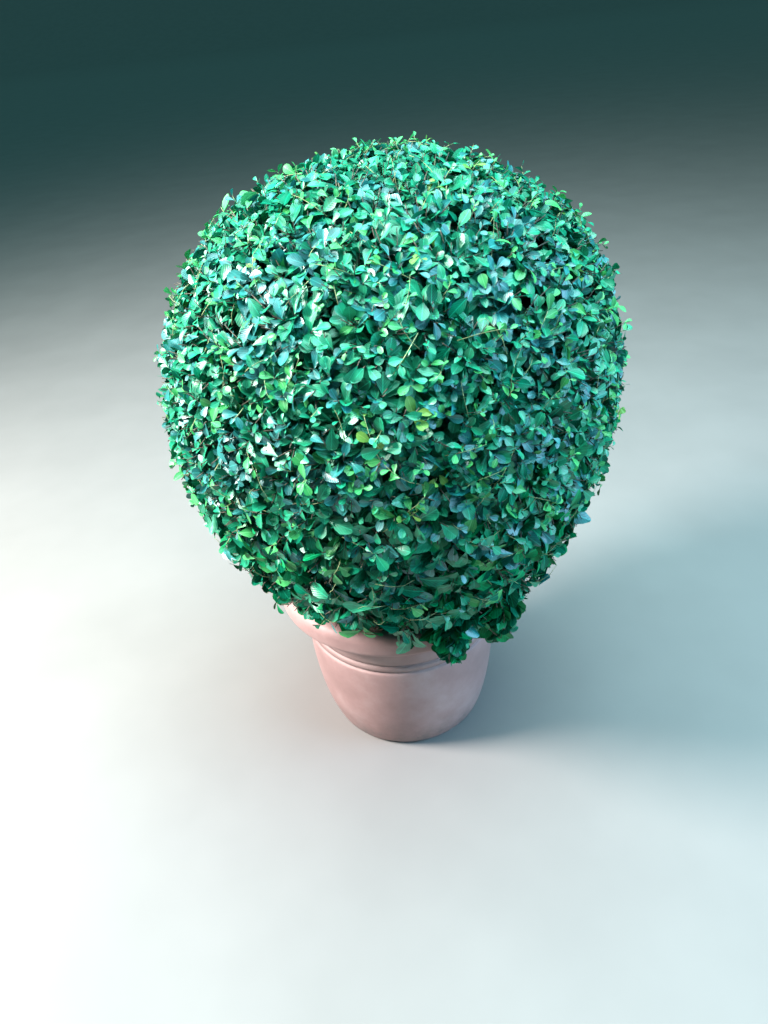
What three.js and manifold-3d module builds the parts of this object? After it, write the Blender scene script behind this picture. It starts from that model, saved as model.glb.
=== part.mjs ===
// A shrub clipped to a ball, grown in a round pot with a rolled rim.
// Lengths are in millimetres, +Z is up, and the origin is the centre of the pot's flat underside.
// The front of the plant, where a fringe of shoots hangs over the rim, faces -Y.
import * as THREE from "three";
import { mergeVertices } from "three/addons/utils/BufferGeometryUtils.js";
import Module from "manifold-3d";

const wasm = await Module();
wasm.setup();

// Driving sizes: lengths in millimetres, angles in degrees
const CLEARANCE = 0.3;
const POT = {
  rimRadius: 250,
  height: 388,
  footRadius: 156,
  bodyRadius: 204,
  bodyTop: 250,
  bandTop: 265,
  ledge: 3,
  neckTop: 333,
  mouthRadius: 215,
  floor: 8,
  drains: 4,
  drainRadius: 11,
  drainCircle: 95,
  sides: 40,
};
const SOIL_TOP = 350;
const TRUNK = { rootRadius: 34, tipRadius: 23, flare: 15, forkHeight: 438, leanX: 9, leanY: -6 };

// The ball leans a little towards +X, and swells at its shoulder and at its skirt.
const BALL = { centreHeight: 782, offset: 27, lean: 0.02, radius: 411 };
const SHOULDER = { swell: 14, elevation: 36, spread: 17 };
const SKIRT = { swell: 46, elevation: -51, spread: 13 };

// A fringe of shoots hangs over the rim at the front right. At the left the foot of the ball is tucked up.
const FRINGE = { swell: 80, elevation: -58, spread: 6.5, azimuth: -65, sweep: 16 };
const FRINGE_TWIGS = { count: 6, rootElevation: -50, leavesEach: 6, leafSize: 0.6 };
const TUCK = { swell: -30, elevation: -57, spread: 9, azimuth: -153, sweep: 24 };

// From the clipped surface inwards: the zone of leaves, then the dense shell, then the hollow with the boughs
const LEAF_DEPTH = 46;
const SHELL_DEPTH = 60;
const CORE = { bottom: 400, throatRadius: 150, footWidth: 60, lowestElevation: -57, sides: 20, steps: 10 };
const BOUGH_STOP = 24;
const STEM_LENGTH = 58;
const BOUGHS = [
  { name: "bough_leader", azimuth: 20, elevation: 79, root: 1, rootRadius: 17, tipRadius: 7 },
  ...tier("bough_high", 3, 62, 36, 0.86, 14),
  ...tier("bough_low", 3, 5, 2, 0.62, 13),
];
const TWIGS = {
  count: 112,
  lowest: -60,
  rootRadius: 5,
  tipRadius: 3.8,
  buried: 16,
  places: 12,
  leavesEach: 4,
  leafSize: 1,
};
const LEAF = { length: 94, width: 70, thickness: 5, sunk: 1.4, spread: 0.25, tilt: 0.4, layers: 26 };
const SEED = 5151;
const GOLDEN_ANGLE = Math.PI * (3 - Math.sqrt(5));

// Boughs of one tier stand a third of a turn apart and leave the trunk one above another.
function tier(name, count, firstAzimuth, elevation, root, rootRadius) {
  return Array.from({ length: count }, (_, k) => ({
    name: `${name}_${k + 1}`,
    azimuth: firstAzimuth + (k * 360) / count,
    elevation: elevation + 5 * (k - 1),
    root: root - 0.07 * k,
    rootRadius,
    tipRadius: 6,
  }));
}

// Numbers between 0 and 1 that are the same for the same seed.
function seededNumbers(seed) {
  let state = seed;
  return () => {
    state = (state * 48271) % 2147483647;
    return state / 2147483647;
  };
}

const radians = THREE.MathUtils.degToRad;
const degrees = THREE.MathUtils.radToDeg;

function directionOf(azimuth, elevation) {
  const level = Math.cos(elevation);
  return new THREE.Vector3(level * Math.cos(azimuth), level * Math.sin(azimuth), Math.sin(elevation));
}

function bump(value, middle, spread) {
  return Math.exp(-(((value - middle) / spread) ** 2) / 2);
}

// How far the round part of the surface lies from the ball's centre, without the fringe and the tuck.
function roundReach(elevation) {
  const angle = degrees(elevation);
  return BALL.radius
    + SHOULDER.swell * bump(angle, SHOULDER.elevation, SHOULDER.spread)
    + SKIRT.swell * bump(angle, SKIRT.elevation, SKIRT.spread);
}

// How much the fringe or the tuck adds to the surface in a direction.
function swellingAt(local, elevation, azimuth) {
  const aside = THREE.MathUtils.euclideanModulo(degrees(azimuth) - local.azimuth + 180, 360) - 180;
  return local.swell * bump(degrees(elevation), local.elevation, local.spread) * bump(aside, 0, local.sweep);
}

// How far the clipped surface lies from the ball's centre in a direction.
function reach(direction) {
  const elevation = Math.asin(THREE.MathUtils.clamp(direction.z, -1, 1));
  const azimuth = Math.atan2(direction.y, direction.x);
  const fringe = swellingAt(FRINGE, elevation, azimuth);
  return roundReach(elevation) + fringe + swellingAt(TUCK, elevation, azimuth);
}

// A point of the ball: it leans a little, so each level is shifted sideways in step with its height.
function ballPoint(direction, distance) {
  const point = direction.clone().multiplyScalar(distance);
  point.x += BALL.offset + BALL.lean * point.z;
  point.z += BALL.centreHeight;
  return point;
}

// How deep a point lies under the clipped surface.
function depthOf(point) {
  const local = point.clone();
  local.z -= BALL.centreHeight;
  local.x -= BALL.offset + BALL.lean * local.z;
  const distance = local.length();
  return reach(local.normalize()) - distance;
}

// Solids
function solid(geometry) {
  const plain = geometry.clone();
  plain.deleteAttribute("normal");
  plain.deleteAttribute("uv");
  const merged = mergeVertices(plain, 1e-3);
  return new wasm.Manifold(new wasm.Mesh({
    numProp: 3,
    vertProperties: Float32Array.from(merged.attributes.position.array),
    triVerts: Uint32Array.from(merged.index.array),
  }));
}

function geometryOf(body) {
  const mesh = body.getMesh();
  const geometry = new THREE.BufferGeometry();
  geometry.setAttribute("position", new THREE.BufferAttribute(mesh.vertProperties, 3));
  geometry.setIndex(new THREE.BufferAttribute(mesh.triVerts, 1));
  geometry.computeVertexNormals();
  return geometry;
}

// Joins many solids two by two, so that no join is between a large solid and a tiny one for long.
function joined(bodies) {
  let left = bodies;
  while (left.length > 1) {
    const next = [];
    for (let i = 0; i < left.length; i += 2) {
      next.push(i + 1 < left.length ? left[i].add(left[i + 1]) : left[i]);
    }
    left = next;
  }
  return left[0];
}

// The largest piece of a solid: loose scraps are dropped and sealed hollows filled.
function largestPiece(body) {
  return body.decompose().reduce((best, piece) => (piece.volume() > best.volume() ? piece : best));
}

function touches(body, other) {
  return !body.intersect(other).isEmpty();
}

function turned(points, sides) {
  const geometry = new THREE.LatheGeometry(points, sides);
  geometry.rotateX(Math.PI / 2);
  return geometry;
}

// A round limb along a path: a cylinder that is bent to it and tapered.
function limb(path, radiusAt, sides, steps) {
  const geometry = new THREE.CylinderGeometry(1, 1, 1, sides, steps);
  const frames = path.computeFrenetFrames(steps, false);
  const position = geometry.attributes.position;
  for (let i = 0; i < position.count; i += 1) {
    const step = Math.round((position.getY(i) + 0.5) * steps);
    const [x, z] = [position.getX(i), position.getZ(i)];
    const radius = radiusAt(step / steps, Math.atan2(z, x));
    const point = path.getPointAt(step / steps)
      .addScaledVector(frames.normals[step], x * radius)
      .addScaledVector(frames.binormals[step], -z * radius);
    position.setXYZ(i, point.x, point.y, point.z);
  }
  return geometry;
}

function taper(rootRadius, tipRadius) {
  return (along) => THREE.MathUtils.lerp(rootRadius, tipRadius, along);
}

// Pot
function arc(centreR, centreZ, radius, fromDegrees, toDegrees, steps) {
  return Array.from({ length: steps + 1 }, (_, k) => {
    const angle = radians(THREE.MathUtils.lerp(fromDegrees, toDegrees, k / steps));
    return new THREE.Vector2(centreR + radius * Math.cos(angle), centreZ + radius * Math.sin(angle));
  });
}

// The pot's outside, from its foot up: a convex body, two fine ledges and a neck that flares to the rim
function wallOutline() {
  const body = new THREE.QuadraticBezierCurve(
    new THREE.Vector2(POT.footRadius + 16, 14),
    new THREE.Vector2(POT.bodyRadius - 3, 95),
    new THREE.Vector2(POT.bodyRadius, POT.bodyTop - POT.ledge),
  );
  return [
    new THREE.Vector2(POT.footRadius, 0),
    new THREE.Vector2(POT.footRadius + 10.5, 4),
    ...body.getPoints(5),
    new THREE.Vector2(POT.bodyRadius - POT.ledge, POT.bodyTop),
    new THREE.Vector2(POT.bodyRadius - POT.ledge, POT.bandTop - POT.ledge),
    new THREE.Vector2(POT.bodyRadius - 2 * POT.ledge, POT.bandTop),
    new THREE.Vector2(POT.bodyRadius, (POT.bandTop + POT.neckTop) / 2),
    new THREE.Vector2(POT.bodyRadius + 8, POT.neckTop),
  ];
}

function rimOutline(grow) {
  const lowerRound = 13;
  const upperRound = 19;
  return [
    ...arc(POT.rimRadius - lowerRound, POT.height - 36, lowerRound + grow, -75, 0, 2),
    ...arc(POT.rimRadius - upperRound, POT.height - upperRound, upperRound + grow, 12, 90, 2),
    new THREE.Vector2(POT.mouthRadius + 8 - grow, POT.height - 2 + grow),
    new THREE.Vector2(POT.mouthRadius - grow, POT.height - 12),
  ];
}

// The pot's inside, from its mouth down. The soil's side is this outline, a gap further in.
function innerOutline(gap) {
  const radius = POT.bodyRadius - gap;
  return [
    new THREE.Vector2(POT.mouthRadius - 5 - gap, SOIL_TOP),
    new THREE.Vector2(radius, POT.neckTop - 5),
    new THREE.Vector2(radius - 13, POT.bandTop),
    new THREE.Vector2(radius - 10, POT.bodyTop - 10),
    new THREE.Vector2(radius - 19, 112),
    new THREE.Vector2(radius - 40, 20),
    new THREE.Vector2(POT.footRadius - 6 - gap, POT.floor + gap),
  ];
}

function pot() {
  const outline = [
    new THREE.Vector2(0, 0),
    ...wallOutline(),
    ...rimOutline(0),
    ...innerOutline(0),
    new THREE.Vector2(0, POT.floor),
  ];
  let body = solid(turned(outline, POT.sides));
  for (let k = 0; k < POT.drains; k += 1) {
    const angle = (k * 2 * Math.PI) / POT.drains + Math.PI / 4;
    const drain = new THREE.CylinderGeometry(POT.drainRadius, POT.drainRadius, 4 * POT.floor, 8);
    drain.rotateX(Math.PI / 2);
    drain.translate(POT.drainCircle * Math.cos(angle), POT.drainCircle * Math.sin(angle), 0);
    body = body.subtract(solid(drain));
  }
  return geometryOf(body);
}

// The space that the pot and its soil take, a little larger, which twigs and leaves keep out of.
function potSpace(grow) {
  return turned([
    new THREE.Vector2(0, -grow),
    ...wallOutline().map((point) => new THREE.Vector2(point.x + grow, point.y)),
    ...rimOutline(grow),
    new THREE.Vector2(POT.mouthRadius - 5 - grow, SOIL_TOP + grow),
    new THREE.Vector2(0, SOIL_TOP + grow),
  ], POT.sides);
}

// Soil
function soil() {
  return turned([
    new THREE.Vector2(0, POT.floor + CLEARANCE),
    ...innerOutline(CLEARANCE).reverse(),
    new THREE.Vector2(0, SOIL_TOP),
  ], POT.sides);
}

// Trunk: from its flat cut at the soil, with root buttresses, to the fork
const TRUNK_FOOT = SOIL_TOP + CLEARANCE;
const TRUNK_PATH = new THREE.QuadraticBezierCurve3(
  new THREE.Vector3(0, 0, TRUNK_FOOT),
  new THREE.Vector3(0, 0, (TRUNK_FOOT + TRUNK.forkHeight) / 2),
  new THREE.Vector3(TRUNK.leanX, TRUNK.leanY, TRUNK.forkHeight),
);

function trunk(grow) {
  const buttresses = 5;
  const radiusAt = (along, angle) => {
    const foot = (1 - along) ** 3;
    const plain = THREE.MathUtils.lerp(TRUNK.rootRadius, TRUNK.tipRadius, along) + TRUNK.flare * foot;
    return plain * (1 + 0.13 * foot * Math.cos(buttresses * angle)) + grow;
  };
  return limb(TRUNK_PATH, radiusAt, 20, 4);
}

// Main boughs: each leaves the trunk near the fork and ends where it enters the leafy shell
function boughTip(bough) {
  const direction = directionOf(radians(bough.azimuth), radians(bough.elevation));
  const elevation = radians(bough.elevation);
  return ballPoint(direction, roundReach(elevation) - LEAF_DEPTH - SHELL_DEPTH - BOUGH_STOP);
}

function boughPath(bough) {
  const root = TRUNK_PATH.getPointAt(bough.root);
  if (bough.root === 1) {
    root.addScaledVector(TRUNK_PATH.getTangentAt(1), CLEARANCE);
  }
  const tip = boughTip(bough);
  const climb = tip.z - root.z;
  const rise = bough.root === 1
    ? TRUNK_PATH.getTangentAt(1).multiplyScalar(0.35 * climb).add(root)
    : root.clone().lerp(tip, 0.33).add(new THREE.Vector3(0, 0, -0.03 * climb));
  const turn = root.clone().lerp(tip, 0.7).add(new THREE.Vector3(0, 0, 0.1 * climb));
  return new THREE.CubicBezierCurve3(root, rise, turn, tip);
}

function boughs() {
  const limbs = [];
  let taken = solid(trunk(CLEARANCE));
  for (const bough of BOUGHS) {
    const path = boughPath(bough);
    const shape = (grow) => solid(limb(path, taper(bough.rootRadius + grow, bough.tipRadius + grow), 8, 6));
    limbs.push({ name: bough.name, geometry: geometryOf(largestPiece(shape(0).subtract(taken))) });
    taken = taken.add(shape(CLEARANCE));
  }
  return limbs;
}

// Crown: a clipped ball of twigs and leaves that stand out of a smaller core
// The core is a leafy shell, open at the foot, with the boughs in its hollow.
function core() {
  const lowest = radians(CORE.lowestElevation);
  const outer = [];
  const inner = [];
  for (let k = 0; k <= CORE.steps; k += 1) {
    const elevation = THREE.MathUtils.lerp(Math.PI / 2, lowest, k / CORE.steps);
    const level = Math.cos(elevation);
    const at = (distance) => {
      const radius = k === 0 ? 0 : distance * level;
      return new THREE.Vector2(radius, distance * Math.sin(elevation));
    };
    outer.push(at(roundReach(elevation) - LEAF_DEPTH));
    if (k % 2 === 0 && k < CORE.steps - 1) {
      inner.push(at(roundReach(elevation) - LEAF_DEPTH - SHELL_DEPTH));
    }
  }
  const bottom = CORE.bottom - BALL.centreHeight;
  const outline = [
    ...inner,
    new THREE.Vector2(CORE.throatRadius, bottom),
    new THREE.Vector2(CORE.throatRadius + CORE.footWidth, bottom),
    ...outer.reverse(),
  ];
  const geometry = turned(outline, CORE.sides);
  const position = geometry.attributes.position;
  for (let i = 0; i < position.count; i += 1) {
    position.setX(i, position.getX(i) + BALL.offset + BALL.lean * position.getZ(i));
    position.setZ(i, position.getZ(i) + BALL.centreHeight);
  }
  return solid(geometry);
}

// The stems of the crown go on from the boughs' tips into the shell.
function stems() {
  return BOUGHS.map((bough) => {
    const path = boughPath(bough);
    const along = path.getTangentAt(1);
    const start = path.getPointAt(1).addScaledVector(along, CLEARANCE);
    const end = start.clone().addScaledVector(along, STEM_LENGTH);
    return solid(limb(new THREE.LineCurve3(start, end), taper(bough.tipRadius, bough.tipRadius - 2), 8, 1));
  });
}

// A leaf of eight faces, widest past its middle.
function leaf({ base, direction, face, size }) {
  const geometry = new THREE.OctahedronGeometry(1, 0);
  const position = geometry.attributes.position;
  for (let i = 0; i < position.count; i += 1) {
    if (Math.abs(position.getY(i)) > 0.5) {
      position.setX(i, 0.2);
    }
  }
  geometry.translate(1, 0, 0);
  geometry.scale((LEAF.length * size) / 2, (LEAF.width * size) / 2, LEAF.thickness / 2);
  geometry.translate(-LEAF.sunk, 0, 0);
  const side = new THREE.Vector3().crossVectors(face, direction).normalize();
  const out = new THREE.Vector3().crossVectors(direction, side);
  geometry.applyMatrix4(new THREE.Matrix4().makeBasis(direction, side, out));
  geometry.translate(base.x, base.y, base.z);
  return geometry;
}

// The fringe's twigs hang from the foot of the ball, down past the outside of the rim.
function fringePaths(next) {
  return Array.from({ length: FRINGE_TWIGS.count }, (_, k) => {
    const across = (k + 0.5) / FRINGE_TWIGS.count - 0.5;
    const aside = 2.2 * FRINGE.sweep * across + 3 * (next() - 0.5);
    const azimuth = radians(FRINGE.azimuth + aside);
    const rootElevation = radians(FRINGE_TWIGS.rootElevation);
    const out = directionOf(azimuth, radians(FRINGE.elevation + 2 * (next() - 0.5)));
    const inside = roundReach(rootElevation) - LEAF_DEPTH - TWIGS.buried;
    return {
      root: ballPoint(directionOf(azimuth, rootElevation), inside),
      tip: ballPoint(out, reach(out) - 14),
      out,
      kind: FRINGE_TWIGS,
    };
  });
}

function twigStick(twig) {
  return limb(new THREE.LineCurve3(twig.root, twig.tip), taper(TWIGS.rootRadius, TWIGS.tipRadius), 3, 1);
}

// Twigs are dealt evenly over the ball by the golden angle, and each grows on from the nearest bough.
function twigPaths(next) {
  const tips = BOUGHS.map(boughTip);
  const lowest = Math.sin(radians(TWIGS.lowest));
  const nearestTo = (place) => {
    const closer = (best, tip) => (tip.distanceTo(place) < best.distanceTo(place) ? tip : best);
    return tips.reduce(closer);
  };
  return Array.from({ length: TWIGS.count }, (_, k) => {
    const height = THREE.MathUtils.lerp(1, lowest, (k + 0.5) / TWIGS.count);
    const elevation = Math.asin(height) + 0.06 * (next() - 0.5);
    const direction = directionOf(k * GOLDEN_ANGLE + 0.1 * (next() - 0.5), elevation);
    const tip = ballPoint(direction, reach(direction) - 14);
    const inside = ballPoint(direction, roundReach(elevation) - LEAF_DEPTH - TWIGS.buried);
    const root = inside.lerp(nearestTo(tip), 0.06);
    return { root, tip, out: direction, kind: TWIGS };
  });
}

// The places that a twig's leaves may take: a spiral down from its tip, with a leaf out of each flat side of
// the three-sided twig in turn, and each leaf's own tip just under the clipped surface.
function leafPlaces(twig, next) {
  const length = twig.root.distanceTo(twig.tip);
  const pitch = (length - TWIGS.buried) / length / TWIGS.places;
  const side = new THREE.LineCurve3(twig.root, twig.tip).computeFrenetFrames(1, false).binormals[0];
  return Array.from({ length: TWIGS.places }, (_, k) => {
    const base = twig.root.clone().lerp(twig.tip, 0.98 - k * pitch);
    const size = twig.kind.leafSize * (1 + LEAF.spread * (next() - 0.5));
    const flat = side.clone().applyAxisAngle(twig.out, (k * 2 * Math.PI) / 3 + 0.7 * (next() - 0.5));
    const depth = 1 + LEAF.layers * next();
    const climb = THREE.MathUtils.clamp((depthOf(base) - depth) / (LEAF.length * size), 0.02, 0.8);
    const direction = flat.multiplyScalar(Math.sqrt(1 - climb * climb)).addScaledVector(twig.out, climb);
    const tilt = new THREE.Vector3(next() - 0.5, next() - 0.5, next() - 0.5).multiplyScalar(LEAF.tilt);
    return { base, direction, face: twig.out.clone().add(tilt), size };
  });
}

function staysInside(geometry) {
  const position = geometry.attributes.position;
  for (let i = 0; i < position.count; i += 1) {
    if (depthOf(new THREE.Vector3().fromBufferAttribute(position, i)) < -2) {
      return false;
    }
  }
  return true;
}

function crown() {
  const next = seededNumbers(SEED);
  const keepOut = solid(potSpace(3));
  const placed = [];
  const isFree = (geometry, others) => {
    geometry.computeBoundingBox();
    const box = geometry.boundingBox;
    const near = others.filter((other) => other.box.intersectsBox(box)).map((other) => other.body);
    if (box.min.z < POT.height + 4) {
      near.push(keepOut);
    }
    const body = solid(geometry);
    if (near.some((other) => touches(body, other))) {
      return false;
    }
    placed.push({ box, body });
    return true;
  };
  const planned = [...twigPaths(next), ...fringePaths(next)];
  const twigs = planned.filter((twig) => isFree(twigStick(twig), []));
  const sticks = [...placed];
  for (const twig of twigs) {
    const own = sticks[twigs.indexOf(twig)];
    let leaves = 0;
    for (const place of leafPlaces(twig, next)) {
      const blade = leaf(place);
      const others = placed.filter((other) => other !== own);
      if (leaves < twig.kind.leavesEach && staysInside(blade) && isFree(blade, others)) {
        leaves += 1;
      }
    }
  }
  const pieces = [core(), ...stems(), ...placed.map((one) => one.body)];
  return geometryOf(largestPiece(joined(pieces)).simplify(0.02));
}

// Materials
function finish(colour, roughness) {
  return new THREE.MeshStandardMaterial({ color: colour, roughness, metalness: 0 });
}

const terracotta = finish(0xc99a86, 0.55);
const earth = finish(0x3a2c22, 0.95);
const bark = finish(0x6f5f4b, 0.85);
const foliage = finish(0x1c7a50, 0.5);

const plant = new THREE.Group();

function addPiece(name, geometry, material) {
  const mesh = new THREE.Mesh(geometry, material.clone());
  mesh.name = name;
  plant.add(mesh);
}

addPiece("pot", pot(), terracotta);
addPiece("soil", soil(), earth);
addPiece("trunk", trunk(0), bark);
for (const bough of boughs()) {
  addPiece(bough.name, bough.geometry, bark);
}
addPiece("crown", crown(), foliage);

export default plant;
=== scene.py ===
# %% [markdown]
# # A shrub clipped to a ball, in a rolled-rim pot
# The real plant is an evergreen with small glossy leaves, grown in a nursery pot and clipped into a dense
# ball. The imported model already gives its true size: pot, soil, trunk, main boughs and a plain crown. This
# lesson loads that model as a fixed frame and dresses it: every node gets a finely shaped piece in its place.
# Lengths are in metres, +Z is up, and the origin is the centre of the pot's underside.

# %% Load the frame
import math
from collections import namedtuple

import bmesh
import bpy
import numpy as np
from mathutils import Matrix, Vector, noise


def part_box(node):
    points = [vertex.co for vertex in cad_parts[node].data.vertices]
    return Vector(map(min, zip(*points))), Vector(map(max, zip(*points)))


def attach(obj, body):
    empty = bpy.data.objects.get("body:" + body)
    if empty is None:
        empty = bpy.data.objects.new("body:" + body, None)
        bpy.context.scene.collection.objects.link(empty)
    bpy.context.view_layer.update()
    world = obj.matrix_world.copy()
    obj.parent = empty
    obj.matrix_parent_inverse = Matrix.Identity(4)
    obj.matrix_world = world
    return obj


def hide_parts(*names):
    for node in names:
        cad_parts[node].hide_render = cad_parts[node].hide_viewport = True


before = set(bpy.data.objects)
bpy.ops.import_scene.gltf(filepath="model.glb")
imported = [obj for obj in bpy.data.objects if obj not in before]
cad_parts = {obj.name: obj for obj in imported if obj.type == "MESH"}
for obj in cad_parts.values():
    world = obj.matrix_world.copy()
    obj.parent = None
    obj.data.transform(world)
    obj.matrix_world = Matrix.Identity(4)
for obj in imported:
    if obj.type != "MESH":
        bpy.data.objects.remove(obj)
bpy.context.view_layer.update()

# %% [markdown]
# ## Camera
# The camera stands close in front of the plant at chest height, tilted well down and turned a little about
# its own axis, so the plant seems to lean. Its place could be found by eye. It was worked out from the
# outlines of the pot and of the ball instead, because their ellipses fix the tilt and the distance together.

# %% Camera
CAMERA_HEIGHT = 1.375
CAMERA_BACK = 1.312
CAMERA_LEFT = 0.012
CAMERA_TILT = math.radians(33.4)
CAMERA_ROLL = math.radians(-6.3)
FOCAL_PIXELS = 770
FRAME_HEIGHT = 1024


def camera_turn():
    """The camera's right, up and backward directions as a rotation."""
    ahead = Vector((0, math.cos(CAMERA_TILT), -math.sin(CAMERA_TILT)))
    level_up = Vector((0, math.sin(CAMERA_TILT), math.cos(CAMERA_TILT)))
    level_right = Vector((1, 0, 0))
    right = level_right * math.cos(CAMERA_ROLL) + level_up * math.sin(CAMERA_ROLL)
    up = level_up * math.cos(CAMERA_ROLL) - level_right * math.sin(CAMERA_ROLL)
    return Matrix((right, up, -ahead)).transposed().to_4x4()


camera_data = bpy.data.cameras.new("camera")
camera_data.sensor_width = 36
camera_data.lens = camera_data.sensor_width * FOCAL_PIXELS / FRAME_HEIGHT
camera = bpy.data.objects.new("camera", camera_data)
camera.matrix_world = Matrix.Translation((-CAMERA_LEFT, -CAMERA_BACK, CAMERA_HEIGHT)) @ camera_turn()
bpy.context.scene.collection.objects.link(camera)
bpy.context.scene.camera = camera
print("lens", round(camera_data.lens, 2), "mm")

# %% [markdown]
# ## Light
# Soft daylight falls on the plant from the left and from above. One sun lamp would be the shortest way, but
# glossy leaves need something large and pale to mirror, so the lamps are broad discs: the key on the left, a
# wide cool one overhead for the sky, and a bluer fill that keeps the shaded side on the right blue-green. A
# pale world fills the rest. The view transform is Standard, because the default one greys such strong greens.

# %% Lights
BALL_MIDDLE = (0, 0, 0.75)
LAMPS = {
    "key": {"place": (-2.85, -0.24, 2.60), "size": 1.1, "power": 465, "colour": (1.0, 1.0, 0.97)},
    "sky": {"place": (0.3, 0.0, 3.9), "size": 3.2, "power": 310, "colour": (0.62, 0.98, 1.0)},
    "fill": {"place": (3.0, -1.2, 2.0), "size": 2.6, "power": 200, "colour": (0.38, 0.70, 1.0)},
}
WORLD_COLOUR = (0.26, 0.93, 0.97)
WORLD_STRENGTH = 0.22


def area_light(name, place, size, power, colour):
    """A disc lamp that points at the middle of the ball."""
    data = bpy.data.lights.new(name, "AREA")
    data.shape = "DISK"
    data.size = size
    data.energy = power
    data.color = colour
    lamp = bpy.data.objects.new(name, data)
    lamp.location = place
    lamp.rotation_euler = (Vector(BALL_MIDDLE) - Vector(place)).to_track_quat("-Z", "Y").to_euler()
    bpy.context.scene.collection.objects.link(lamp)


for name, values in LAMPS.items():
    area_light(name, **values)
world = bpy.data.worlds.new("pale room")
world.use_nodes = True
background = world.node_tree.nodes["Background"]
background.inputs["Color"].default_value = (*WORLD_COLOUR, 1)
background.inputs["Strength"].default_value = WORLD_STRENGTH
bpy.context.scene.world = world
bpy.context.scene.view_settings.view_transform = "Standard"
print("lamps", list(LAMPS))

# %% [markdown]
# ## Floor
# The plant stands on a plain floor, so that the pot's contact shadow has something even to fall on. Its own
# colour is a warm grey with a faint mottle, and the lamps turn it pale round the plant. A small plane would
# show its edges. This one is wide and subdivided, and its outermost ring is lifted, so that no edge shows
# behind the ball. The floor is the first piece that needs a material, so the helpers for all materials come
# before it.


# %% Material helpers
def new_material(name):
    """A material with its node tree and its shader."""
    material = bpy.data.materials.new(name)
    material.use_nodes = True
    shader = material.node_tree.nodes["Principled BSDF"]
    return material, material.node_tree, shader


def add_node(tree, kind, **values):
    """A node whose sockets, or else its own settings, get the named values."""
    node = tree.nodes.new(kind)
    for key, value in values.items():
        socket = node.inputs.get(key.replace("_", " "))
        if socket is None:
            setattr(node, key, value)
        else:
            socket.default_value = value
    return node


def object_noise(tree, scale, detail=3.0, roughness=0.55, stretch=None):
    """Noise by a point's place on the whole object. A stretch below 1 draws it out along that axis."""
    place = add_node(tree, "ShaderNodeTexCoord").outputs["Object"]
    if stretch:
        drawn_out = add_node(tree, "ShaderNodeMapping", Scale=stretch)
        tree.links.new(place, drawn_out.inputs["Vector"])
        place = drawn_out.outputs["Vector"]
    pattern = add_node(tree, "ShaderNodeTexNoise", Scale=scale, Detail=detail, Roughness=roughness)
    tree.links.new(place, pattern.inputs["Vector"])
    return pattern.outputs["Fac"]


def ramp(tree, source, stops):
    """Colours by a value: each stop is a place from 0 to 1 and its colour."""
    node = tree.nodes.new("ShaderNodeValToRGB")
    elements = node.color_ramp.elements
    while len(elements) < len(stops):
        elements.new(0.5)
    for element, (place, colour) in zip(elements, stops):
        element.position = place
        element.color = (*colour, 1)
    tree.links.new(source, node.inputs["Fac"])
    return node.outputs["Color"]


def span(tree, source, low, high, to_low=0.0, to_high=1.0):
    """The source's stretch from low to high, mapped to another one and cut off at its ends."""
    node = tree.nodes.new("ShaderNodeMapRange")
    node.inputs["From Min"].default_value = low
    node.inputs["From Max"].default_value = high
    node.inputs["To Min"].default_value = to_low
    node.inputs["To Max"].default_value = to_high
    tree.links.new(source, node.inputs["Value"])
    return node.outputs["Result"]


def mixed(tree, share, first, second):
    """The first colour with a share of the second. Each can be a value or another node's output."""
    node = add_node(tree, "ShaderNodeMix", data_type="RGBA")
    for socket, value in (("Factor", share), ("A", first), ("B", second)):
        target = [one for one in node.inputs if one.name == socket and one.enabled][0]
        if isinstance(value, (int, float)):
            target.default_value = value
        elif isinstance(value, tuple):
            target.default_value = (*value, 1)
        else:
            tree.links.new(value, target)
    return [one for one in node.outputs if one.enabled][0]


def math_node(tree, operation, first, second=0, third=None):
    """One step of arithmetic on values or other nodes' outputs."""
    node = add_node(tree, "ShaderNodeMath", operation=operation)
    for socket, value in zip(node.inputs, (first, second, third)):
        if isinstance(value, (int, float)):
            socket.default_value = value
        elif value is not None:
            tree.links.new(value, socket)
    return node.outputs["Value"]


def painted(tree, shader, colour, roughness):
    """Gives the shader a colour that varies and one roughness all over."""
    tree.links.new(colour, shader.inputs["Base Color"])
    shader.inputs["Roughness"].default_value = roughness


def bump_from(tree, shader, source, strength, distance):
    node = add_node(tree, "ShaderNodeBump", Strength=strength, Distance=distance)
    tree.links.new(source, node.inputs["Height"])
    tree.links.new(node.outputs["Normal"], shader.inputs["Normal"])


# %% Floor
FLOOR_REACH = 60
FLOOR_EDGE_LIFT = 4.5
FLOOR_TONES = [(0.3, (0.215, 0.190, 0.182)), (0.7, (0.235, 0.208, 0.199))]


def floor_material():
    material, tree, shader = new_material("pale floor")
    painted(tree, shader, ramp(tree, object_noise(tree, 3.0), FLOOR_TONES), 0.8)
    return material


def object_from(bm, name, material, smooth=True):
    """Turns a bmesh into an object at the origin with one material."""
    mesh = bpy.data.meshes.new(name)
    bm.to_mesh(mesh)
    bm.free()
    mesh.polygons.foreach_set("use_smooth", [smooth] * len(mesh.polygons))
    mesh.materials.append(material)
    piece = bpy.data.objects.new(name, mesh)
    bpy.context.scene.collection.objects.link(piece)
    return piece


floor_bm = bmesh.new()
bmesh.ops.create_grid(floor_bm, x_segments=8, y_segments=8, size=FLOOR_REACH)
for vertex in floor_bm.verts:
    if max(abs(vertex.co.x), abs(vertex.co.y)) > 0.9 * FLOOR_REACH:
        vertex.co.z = FLOOR_EDGE_LIFT
floor = object_from(floor_bm, "floor", floor_material())
print("floor faces", len(floor.data.polygons))

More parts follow.
